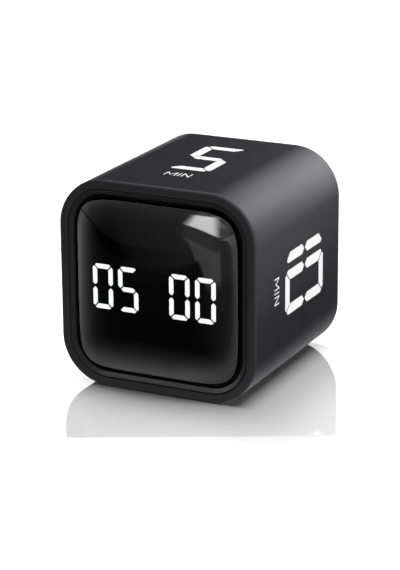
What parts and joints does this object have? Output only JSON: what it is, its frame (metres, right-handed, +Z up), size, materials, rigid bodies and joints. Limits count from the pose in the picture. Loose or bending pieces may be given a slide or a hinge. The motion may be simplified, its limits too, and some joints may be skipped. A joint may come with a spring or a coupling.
{
  "type": "cube timer",
  "caption": "Cube timer: matt black square sleeve with minute numerals on its sides, domed smoked display window, rear keys, sound slider and charging socket.",
  "frame": {"origin": "middle of the footprint, on the surface the timer stands on", "axes": "+Z up with the display upright, the display faces -Y, +X is to the right seen from the front"},
  "size_m": [0.062, 0.065, 0.062],
  "materials": {
    "shell": "fine matt black, soft sheen",
    "trim": "satin black",
    "carrier": "moulded black",
    "gasket": "soft black",
    "smoked_lens": "polished smoked acrylic",
    "reflector": "moulded black",
    "lit_segment": "diffusing white, lit",
    "dark_segment": "diffusing smoke, unlit",
    "circuit_board": "solder mask",
    "small_board": "solder mask",
    "led": "yellow phosphor",
    "clear_pipe": "clear acrylic",
    "chip": "moulded epoxy",
    "steel": "nickel plated",
    "screw_black": "black oxide",
    "foam": "adhesive foam",
    "foil": "laminated foil",
    "lead": "insulated wire",
    "connector": "ivory nylon",
    "ribbon": "flat flexible cable",
    "switch": "moulded body",
    "plunger": "moulded actuator",
    "key": "satin black",
    "ink": "printed white"
  },
  "bodies": {
    "case": {"body_sleeve": "shell", "front_rim": "trim", "inner_bezel": "trim", "lens_gasket": "gasket", "lens": "smoked_lens", "front_carrier": "carrier", "display_reflector": "reflector", "segments_lit": "lit_segment", "segments_unlit": "dark_segment", "display_board": "circuit_board", "segment_leds": "led", "display_driver": "chip", "display_screws": "steel", "carrier_screws": "steel", "battery_pads": "foam", "battery_cell": "foil", "protection_board": "small_board", "battery_leads": "lead", "battery_socket": "connector", "ribbon_cable": "ribbon", "ribbon_sockets": "connector", "main_board": "circuit_board", "timer_chip": "chip", "tilt_sensor": "chip", "charge_chip": "chip", "crystal": "steel", "buzzer": "chip", "charge_led": "led", "light_pipe": "clear_pipe", "key_switches": "switch", "slide_switch": "steel", "usb_shell": "steel", "usb_tongue": "chip", "rear_cover": "shell", "board_screws": "steel", "cover_screws": "screw_black", "top_marking": "ink", "right_marking": "ink", "bottom_marking": "ink", "left_marking": "ink"},
    "minute_button": {"minute_key": "key", "minute_plunger": "plunger"},
    "second_button": {"second_key": "key", "second_plunger": "plunger"},
    "start_button": {"start_key": "key", "start_plunger": "plunger"},
    "slider": {"sound_slider": "key", "slide_lever": "plunger"}
  },
  "joints": [
    {"name": "minute_button_press", "type": "slide", "parent": "case", "child": "minute_button", "axis": [0, -1, 0], "range_m": [0, 0.0005], "stiffness_N_per_m": 2000},
    {"name": "second_button_press", "type": "slide", "parent": "case", "child": "second_button", "axis": [0, -1, 0], "range_m": [0, 0.0005], "stiffness_N_per_m": 2000},
    {"name": "start_button_press", "type": "slide", "parent": "case", "child": "start_button", "axis": [0, -1, 0], "range_m": [0, 0.0005], "stiffness_N_per_m": 2000},
    {"name": "sound_slide", "type": "slide", "parent": "case", "child": "slider", "axis": [1, 0, 0], "range_m": [-0.002, 0.002]}
  ]
}
